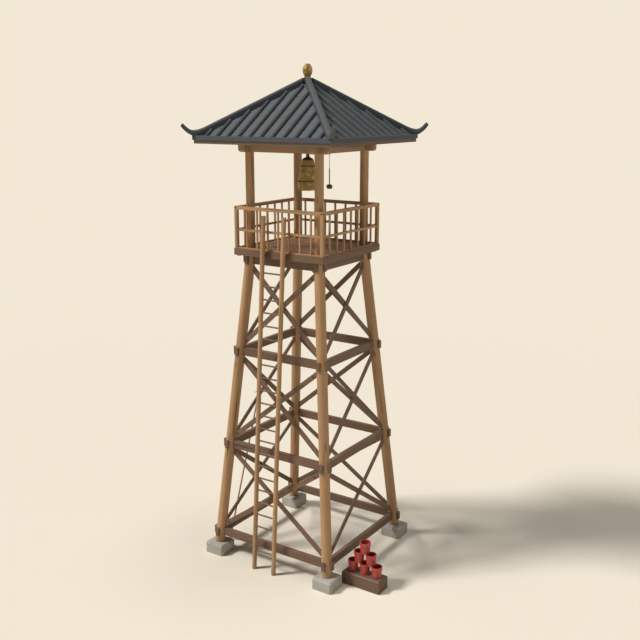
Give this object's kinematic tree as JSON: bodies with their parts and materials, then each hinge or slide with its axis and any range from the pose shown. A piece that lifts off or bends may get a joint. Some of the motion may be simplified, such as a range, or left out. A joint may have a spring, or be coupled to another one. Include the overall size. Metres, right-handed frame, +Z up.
{
  "type": "fire lookout tower",
  "caption": "Tall timber fire lookout tower on four leaning braced legs, with a railed platform under a tiled hip roof, a hanging bell with a mallet, and a ladder.",
  "frame": {"origin": "on the ground at the foot of the tower's own vertical axis, midway between the four footings", "axes": "+Z up, -Y towards the side with the ladder, +X to the right of it"},
  "size_m": [4.7725, 4.0678, 11.6271],
  "materials": {
    "aged_timber_light": "satin",
    "dark_timber": "matte",
    "stone": "rough",
    "roof_tile": "matte",
    "gilt_brass": "satin",
    "bronze": "aged",
    "iron": "matte",
    "straw_cord": "matte",
    "red_paint": "satin"
  },
  "bodies": {
    "tower": {"bell_beam": "aged_timber_light", "bell_bracket": "iron", "bell_pin": "iron", "braces_front_back_falling": "dark_timber", "braces_front_back_rising": "dark_timber", "braces_left_right_falling": "dark_timber", "braces_left_right_rising": "dark_timber", "bucket_bench": "dark_timber", "bucket_top": "red_paint", "buckets_bottom_row": "red_paint", "buckets_middle_row": "red_paint", "eave_board": "aged_timber_light", "finial": "gilt_brass", "finial_base": "roof_tile", "fire_hook_head": "iron", "fire_hook_pole": "aged_timber_light", "footings": "stone", "girts_front_back": "dark_timber", "girts_left_right": "dark_timber", "hip_ridges": "roof_tile", "ladder_cleats": "dark_timber", "ladder_rails": "aged_timber_light", "ladder_rungs": "dark_timber", "leg_back_left": "aged_timber_light", "leg_back_right": "aged_timber_light", "leg_front_left": "aged_timber_light", "leg_front_right": "aged_timber_light", "plate_beams_front_back": "aged_timber_light", "plate_beams_left_right": "aged_timber_light", "platform_deck": "dark_timber", "platform_edge": "dark_timber", "platform_joists": "dark_timber", "railing_back": "aged_timber_light", "railing_front": "aged_timber_light", "railing_left": "aged_timber_light", "railing_posts": "aged_timber_light", "railing_right": "aged_timber_light", "roof_front_back": "roof_tile", "roof_left_right": "roof_tile", "roof_posts": "aged_timber_light", "roof_ribs_front_back": "roof_tile", "roof_ribs_left_right": "roof_tile", "striker_bracket": "iron", "striker_pin": "iron"},
    "bell": {"bell": "bronze"},
    "striker": {"striker_eye": "iron", "striker_cord": "straw_cord", "mallet_handle": "dark_timber", "mallet_head": "dark_timber"}
  },
  "joints": [
    {"name": "bell_swing", "type": "hinge", "parent": "tower", "child": "bell", "pos_m": [0, 0, 9.69], "axis": [1, 0, 0], "range_deg": [-15, 15]},
    {"name": "striker_swing", "type": "hinge", "parent": "tower", "child": "striker", "pos_m": [0.59, 0, 9.7], "axis": [0, 1, 0], "range_deg": [-35, 18]}
  ]
}
